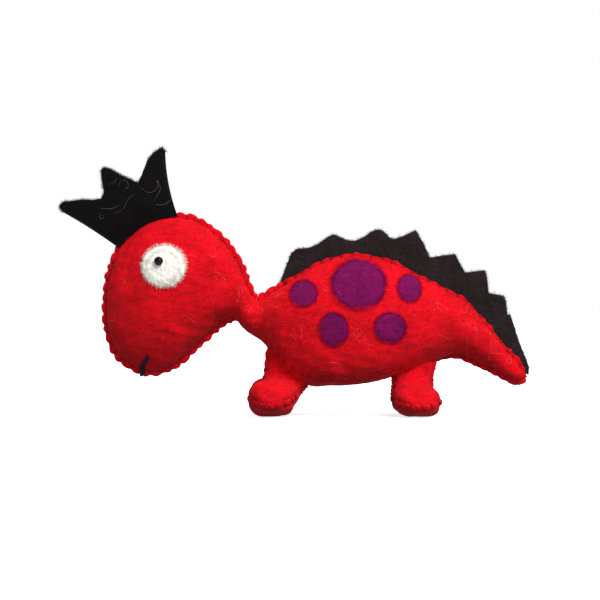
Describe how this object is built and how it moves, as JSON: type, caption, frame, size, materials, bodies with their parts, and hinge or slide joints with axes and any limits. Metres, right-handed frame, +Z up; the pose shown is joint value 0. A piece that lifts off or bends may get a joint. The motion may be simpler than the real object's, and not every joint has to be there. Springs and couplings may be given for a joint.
{
  "type": "hand puppet",
  "caption": "Stuffed felt dinosaur hand puppet with a pronged crown, saw-toothed back crest, round spots, four stuffed legs and a finger pocket under the belly.",
  "frame": {"origin": "on the floor, under the middle of the bounding box", "axes": "+Z up, +X from the crown to the tip of the tail, so the animal faces -X; +Y towards its right side"},
  "size_m": [0.2612, 0.0798, 0.1486],
  "materials": {
    "red_felt": "matte, thick fuzzy wool felt",
    "black_felt": "matte, thick fuzzy wool felt",
    "brown_felt": "matte, thick fuzzy wool felt",
    "purple_wool": "matte needle-felted wool",
    "white_wool": "matte needle-felted wool",
    "black_bead": "gloss",
    "wool_filling": "matte carded wool",
    "red_thread": "matte woollen yarn",
    "dark_thread": "matte woollen yarn",
    "lining_cotton": "matte plain-woven cotton"
  },
  "bodies": {
    "trunk": {"body_left_panel": "red_felt", "body_right_panel": "red_felt", "belly_gusset": "red_felt", "body_stuffing": "wool_filling", "pocket_lining": "lining_cotton", "back_crest": "brown_felt", "back_seam_thread_left": "red_thread", "back_seam_thread_right": "red_thread", "belly_seam_thread_left": "red_thread", "belly_seam_thread_right": "red_thread", "spot_1_left": "purple_wool", "spot_1_right": "purple_wool", "spot_2_left": "purple_wool", "spot_2_right": "purple_wool", "spot_3_left": "purple_wool", "spot_3_right": "purple_wool", "spot_4_left": "purple_wool", "spot_4_right": "purple_wool", "spot_5_left": "purple_wool", "spot_5_right": "purple_wool"},
    "neck": {"neck_left_panel": "red_felt", "neck_right_panel": "red_felt", "neck_stuffing": "wool_filling"},
    "head": {"head_left_panel": "red_felt", "head_right_panel": "red_felt", "head_stuffing": "wool_filling", "head_seam_thread": "red_thread", "mouth_stitch": "dark_thread", "eye_patch_left": "white_wool", "eye_patch_right": "white_wool", "pupil_bead_left": "black_bead", "pupil_bead_right": "black_bead", "crown_left_panel": "black_felt", "crown_right_panel": "black_felt"},
    "tail": {"tail_left_panel": "red_felt", "tail_right_panel": "red_felt", "tail_stuffing": "wool_filling", "tail_crest": "brown_felt", "tail_seam_thread": "red_thread", "tail_crest_thread_left": "red_thread", "tail_crest_thread_right": "red_thread"},
    "front_left_leg": {"front_left_leg_outer": "red_felt", "front_left_leg_inner": "red_felt", "front_left_leg_stuffing": "wool_filling", "front_left_leg_thread": "red_thread"},
    "front_right_leg": {"front_right_leg_outer": "red_felt", "front_right_leg_inner": "red_felt", "front_right_leg_stuffing": "wool_filling", "front_right_leg_thread": "red_thread"},
    "rear_left_leg": {"rear_left_leg_outer": "red_felt", "rear_left_leg_inner": "red_felt", "rear_left_leg_stuffing": "wool_filling", "rear_left_leg_thread": "red_thread"},
    "rear_right_leg": {"rear_right_leg_outer": "red_felt", "rear_right_leg_inner": "red_felt", "rear_right_leg_stuffing": "wool_filling", "rear_right_leg_thread": "red_thread"}
  },
  "joints": [
    {"name": "neck_turn", "type": "hinge", "parent": "trunk", "child": "neck", "pos_m": [-0.02, 0, 0.056], "axis": [0, 0, 1], "range_deg": [-25, 25], "stiffness_Nm_per_rad": 0.5},
    {"name": "head_nod", "type": "hinge", "parent": "neck", "child": "head", "pos_m": [-0.031, 0, 0.062], "axis": [0, 1, 0], "range_deg": [-18, 14], "stiffness_Nm_per_rad": 1.2},
    {"name": "tail_wag", "type": "hinge", "parent": "trunk", "child": "tail", "pos_m": [0.092, 0, 0.045], "axis": [0, 0, 1], "range_deg": [-15, 15], "stiffness_Nm_per_rad": 0.4},
    {"name": "front_left_leg_swing", "type": "hinge", "parent": "trunk", "child": "front_left_leg", "pos_m": [-0.0065, -0.016, 0.037], "axis": [0, 1, 0], "range_deg": [-12, 12], "stiffness_Nm_per_rad": 0.8},
    {"name": "front_right_leg_swing", "type": "hinge", "parent": "trunk", "child": "front_right_leg", "pos_m": [-0.0065, 0.016, 0.037], "axis": [0, 1, 0], "range_deg": [-12, 12], "stiffness_Nm_per_rad": 0.8},
    {"name": "rear_left_leg_swing", "type": "hinge", "parent": "trunk", "child": "rear_left_leg", "pos_m": [0.066, -0.016, 0.039], "axis": [0, 1, 0], "range_deg": [-12, 12], "stiffness_Nm_per_rad": 0.8},
    {"name": "rear_right_leg_swing", "type": "hinge", "parent": "trunk", "child": "rear_right_leg", "pos_m": [0.066, 0.016, 0.039], "axis": [0, 1, 0], "range_deg": [-12, 12], "stiffness_Nm_per_rad": 0.8}
  ]
}
